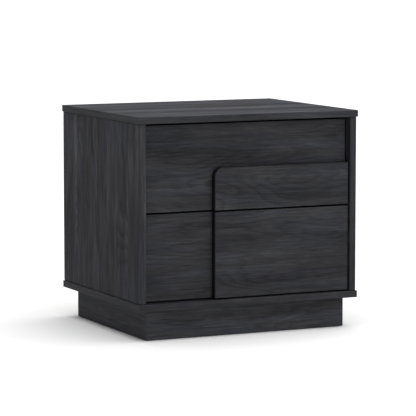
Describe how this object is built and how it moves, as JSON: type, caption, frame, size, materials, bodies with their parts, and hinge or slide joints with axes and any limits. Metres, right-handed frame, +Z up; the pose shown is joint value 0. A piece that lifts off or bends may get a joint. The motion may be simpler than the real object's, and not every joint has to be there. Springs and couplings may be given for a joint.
{
  "type": "nightstand with drawers",
  "caption": "Low bedside cabinet of flat boards on a recessed plinth, with handleless drawers whose stepped fronts form the grips and which run on ball-bearing slides.",
  "frame": {"origin": "on the floor under the middle of the case", "axes": "+Z up, -Y is the front where the drawers open, +X is to the right seen from the front"},
  "size_m": [0.574, 0.47, 0.525],
  "materials": {
    "charcoal_laminate": "charcoal oak-grain laminate on particle board, matt",
    "black_edge_band": "black edge band, satin",
    "drawer_laminate": "plain dark grey laminate, matt",
    "hardboard": "thin board with a printed charcoal face",
    "block_timber": "raw softwood",
    "dowel_timber": "fluted beech",
    "runner_steel": "zinc-plated rolled steel",
    "cage_steel": "thin pressed steel",
    "ball_steel": "polished steel balls",
    "cam_alloy": "die-cast zinc alloy",
    "fitting_steel": "zinc-plated screws and bolts",
    "lever_plastic": "black moulded plastic",
    "glide_nylon": "black nylon"
  },
  "bodies": {
    "case": {"top_panel": "charcoal_laminate", "bottom_panel": "charcoal_laminate", "left_side_panel": "charcoal_laminate", "right_side_panel": "charcoal_laminate", "plinth_front_rail": "charcoal_laminate", "plinth_left_rail": "charcoal_laminate", "plinth_right_rail": "charcoal_laminate", "plinth_back_rail": "charcoal_laminate", "back_panel": "hardboard", "plinth_corner_blocks": "block_timber", "floor_glides": "glide_nylon", "plinth_screws": "fitting_steel", "cabinet_runner_screws": "fitting_steel", "case_cam_locks": "cam_alloy", "case_cam_bolts": "fitting_steel", "case_dowels": "dowel_timber", "lower_left_cabinet_runner": "runner_steel", "lower_right_cabinet_runner": "runner_steel", "upper_left_cabinet_runner": "runner_steel", "upper_right_cabinet_runner": "runner_steel"},
    "lower_drawer": {"lower_drawer_front": "charcoal_laminate", "lower_front_overlay": "charcoal_laminate", "lower_overlay_edge_band": "black_edge_band", "lower_drawer_left_side": "drawer_laminate", "lower_drawer_right_side": "drawer_laminate", "lower_drawer_back": "drawer_laminate", "lower_drawer_bottom": "drawer_laminate", "lower_drawer_cam_locks": "cam_alloy", "lower_drawer_cam_bolts": "fitting_steel", "lower_drawer_board_screws": "fitting_steel", "lower_release_levers": "lever_plastic", "lower_drawer_runner_screws": "fitting_steel", "lower_left_drawer_runner": "runner_steel", "lower_right_drawer_runner": "runner_steel"},
    "lower_middle_runners": {"lower_left_middle_runner": "runner_steel", "lower_right_middle_runner": "runner_steel"},
    "lower_outer_cages": {"lower_outer_ball_cages": "cage_steel", "lower_outer_balls": "ball_steel"},
    "lower_inner_cages": {"lower_inner_ball_cages": "cage_steel", "lower_inner_balls": "ball_steel"},
    "upper_drawer": {"upper_drawer_front": "charcoal_laminate", "upper_front_overlay": "charcoal_laminate", "upper_overlay_edge_band": "black_edge_band", "upper_drawer_left_side": "drawer_laminate", "upper_drawer_right_side": "drawer_laminate", "upper_drawer_back": "drawer_laminate", "upper_drawer_bottom": "drawer_laminate", "upper_drawer_cam_locks": "cam_alloy", "upper_drawer_cam_bolts": "fitting_steel", "upper_drawer_board_screws": "fitting_steel", "upper_release_levers": "lever_plastic", "upper_drawer_runner_screws": "fitting_steel", "upper_left_drawer_runner": "runner_steel", "upper_right_drawer_runner": "runner_steel"},
    "upper_middle_runners": {"upper_left_middle_runner": "runner_steel", "upper_right_middle_runner": "runner_steel"},
    "upper_outer_cages": {"upper_outer_ball_cages": "cage_steel", "upper_outer_balls": "ball_steel"},
    "upper_inner_cages": {"upper_inner_ball_cages": "cage_steel", "upper_inner_balls": "ball_steel"}
  },
  "joints": [
    {"name": "lower_drawer_slide", "type": "slide", "parent": "case", "child": "lower_drawer", "axis": [0, -1, 0], "range_m": [0, 0.38]},
    {"name": "lower_middle_runner_slide", "type": "slide", "parent": "case", "child": "lower_middle_runners", "axis": [0, -1, 0], "range_m": [0, 0.19]},
    {"name": "lower_outer_cage_slide", "type": "slide", "parent": "case", "child": "lower_outer_cages", "axis": [0, -1, 0], "range_m": [0, 0.095]},
    {"name": "lower_inner_cage_slide", "type": "slide", "parent": "case", "child": "lower_inner_cages", "axis": [0, -1, 0], "range_m": [0, 0.285]},
    {"name": "upper_drawer_slide", "type": "slide", "parent": "case", "child": "upper_drawer", "axis": [0, -1, 0], "range_m": [0, 0.38]},
    {"name": "upper_middle_runner_slide", "type": "slide", "parent": "case", "child": "upper_middle_runners", "axis": [0, -1, 0], "range_m": [0, 0.19]},
    {"name": "upper_outer_cage_slide", "type": "slide", "parent": "case", "child": "upper_outer_cages", "axis": [0, -1, 0], "range_m": [0, 0.095]},
    {"name": "upper_inner_cage_slide", "type": "slide", "parent": "case", "child": "upper_inner_cages", "axis": [0, -1, 0], "range_m": [0, 0.285]}
  ],
  "couplings": [
    {"joint": "lower_middle_runner_slide", "follows": "lower_drawer_slide", "ratio": 0.5},
    {"joint": "lower_outer_cage_slide", "follows": "lower_drawer_slide", "ratio": 0.25},
    {"joint": "lower_inner_cage_slide", "follows": "lower_drawer_slide", "ratio": 0.75},
    {"joint": "upper_middle_runner_slide", "follows": "upper_drawer_slide", "ratio": 0.5},
    {"joint": "upper_outer_cage_slide", "follows": "upper_drawer_slide", "ratio": 0.25},
    {"joint": "upper_inner_cage_slide", "follows": "upper_drawer_slide", "ratio": 0.75}
  ]
}
